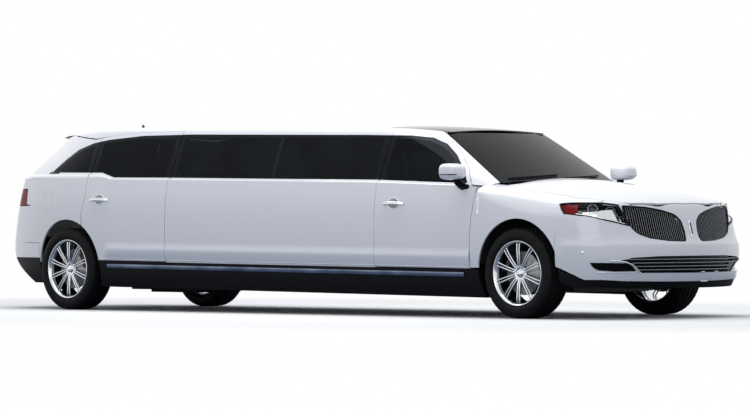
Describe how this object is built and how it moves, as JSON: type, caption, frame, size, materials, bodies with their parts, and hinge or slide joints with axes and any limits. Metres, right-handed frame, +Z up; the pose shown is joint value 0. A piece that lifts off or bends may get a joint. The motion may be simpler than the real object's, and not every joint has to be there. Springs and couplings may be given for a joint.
{
  "type": "stretch limousine",
  "caption": "Long white passenger car with a stretched middle, opening doors, bonnet, liftgate and fuel flap, steered front wheels and free-turning wheels on real axles.",
  "frame": {"origin": "on the ground under the middle of the body, half way along its length and width", "axes": "+X forwards along the vehicle, +Y to its left, +Z up"},
  "size_m": [7.819, 2.33, 1.6509],
  "materials": {
    "paint": "glossy pearl white paint with clear coat",
    "windscreen_glass": "laminated, lightly tinted",
    "cladding": "grained dark plastic",
    "chrome_trim": "bright chrome plate",
    "lamp_clear": "clear moulded lens over bright reflectors",
    "lamp_red": "red moulded lens",
    "dark_glass": "nearly black privacy glass",
    "underbody": "dark sealed steel",
    "cast_metal": "bare casting",
    "chassis_black": "black coated steel",
    "exhaust_steel": "aluminised steel tube",
    "tank_plastic": "moulded black plastic",
    "interior_plastic": "soft black trim",
    "seat_leather": "black leather",
    "wheel_chrome": "polished bright alloy",
    "tyre_rubber": "black rubber"
  },
  "bodies": {
    "body": {"floor_pan": "underbody", "roof_frame": "paint", "windscreen": "windscreen_glass", "stretch_panels": "paint", "quarter_panels": "paint", "rocker_panels": "cladding", "front_fenders": "paint", "front_bumper": "paint", "rear_bumper": "paint", "grille": "chrome_trim", "headlamps": "lamp_clear", "tail_lamps": "lamp_red", "tinted_glass": "dark_glass", "engine": "cast_metal", "subframes": "chassis_black", "exhaust": "exhaust_steel", "fuel_tank": "tank_plastic", "dashboard": "interior_plastic", "front_seats": "seat_leather", "partition": "interior_plastic", "cabin_bench": "seat_leather"},
    "bonnet": {"bonnet": "paint"},
    "liftgate": {"liftgate": "paint", "liftgate_glass": "dark_glass"},
    "fuel_door": {"fuel_door": "paint"},
    "front_door_right": {"front_door_right": "paint", "front_door_glass_right": "dark_glass", "mirror_right": "paint"},
    "rear_door_right": {"rear_door_right": "paint", "rear_door_glass_right": "dark_glass"},
    "steering_right": {"knuckle_right": "cast_metal"},
    "wheel_front_right": {"rim_front_right": "wheel_chrome", "tyre_front_right": "tyre_rubber"},
    "wheel_rear_right": {"rim_rear_right": "wheel_chrome", "tyre_rear_right": "tyre_rubber"},
    "front_door_left": {"front_door_left": "paint", "front_door_glass_left": "dark_glass", "mirror_left": "paint"},
    "rear_door_left": {"rear_door_left": "paint", "rear_door_glass_left": "dark_glass"},
    "steering_left": {"knuckle_left": "cast_metal"},
    "wheel_front_left": {"rim_front_left": "wheel_chrome", "tyre_front_left": "tyre_rubber"},
    "wheel_rear_left": {"rim_rear_left": "wheel_chrome", "tyre_rear_left": "tyre_rubber"}
  },
  "joints": [
    {"name": "steer_right", "type": "hinge", "parent": "body", "child": "steering_right", "pos_m": [2.82, -0.745, 0.3685], "axis": [0, 0, 1], "range_deg": [-33, 33]},
    {"name": "wheel_front_right_spin", "type": "hinge", "parent": "steering_right", "child": "wheel_front_right", "pos_m": [2.82, -0.826, 0.3685], "axis": [0, 1, 0], "continuous": true},
    {"name": "wheel_rear_right_spin", "type": "hinge", "parent": "body", "child": "wheel_rear_right", "pos_m": [-2.715, -0.826, 0.3685], "axis": [0, 1, 0], "continuous": true},
    {"name": "front_door_right_hinge", "type": "hinge", "parent": "body", "child": "front_door_right", "pos_m": [2.37, -0.938, 0.83], "axis": [0, 0, 1], "range_deg": [0, 62]},
    {"name": "rear_door_right_hinge", "type": "hinge", "parent": "body", "child": "rear_door_right", "pos_m": [-1.341, -0.938, 0.72], "axis": [0, 0, 1], "range_deg": [0, 62]},
    {"name": "steer_left", "type": "hinge", "parent": "body", "child": "steering_left", "pos_m": [2.82, 0.745, 0.3685], "axis": [0, 0, 1], "range_deg": [-33, 33]},
    {"name": "wheel_front_left_spin", "type": "hinge", "parent": "steering_left", "child": "wheel_front_left", "pos_m": [2.82, 0.826, 0.3685], "axis": [0, 1, 0], "continuous": true},
    {"name": "wheel_rear_left_spin", "type": "hinge", "parent": "body", "child": "wheel_rear_left", "pos_m": [-2.715, 0.826, 0.3685], "axis": [0, 1, 0], "continuous": true},
    {"name": "front_door_left_hinge", "type": "hinge", "parent": "body", "child": "front_door_left", "pos_m": [2.37, 0.938, 0.83], "axis": [0, 0, -1], "range_deg": [0, 62]},
    {"name": "rear_door_left_hinge", "type": "hinge", "parent": "body", "child": "rear_door_left", "pos_m": [-1.341, 0.938, 0.72], "axis": [0, 0, -1], "range_deg": [0, 62]},
    {"name": "bonnet_hinge", "type": "hinge", "parent": "body", "child": "bonnet", "pos_m": [2.484, 0, 1.048], "axis": [0, -1, 0], "range_deg": [0, 50]},
    {"name": "liftgate_hinge", "type": "hinge", "parent": "body", "child": "liftgate", "pos_m": [-3.0445, 0, 1.615], "axis": [0, 1, 0], "range_deg": [0, 78]},
    {"name": "fuel_door_hinge", "type": "hinge", "parent": "body", "child": "fuel_door", "pos_m": [-2.9195, -0.9318, 0.985], "axis": [0, 0.0909, 0.9959], "range_deg": [0, 100]}
  ],
  "couplings": [
    {"joint": "steer_right", "follows": "steer_left", "ratio": 1}
  ]
}
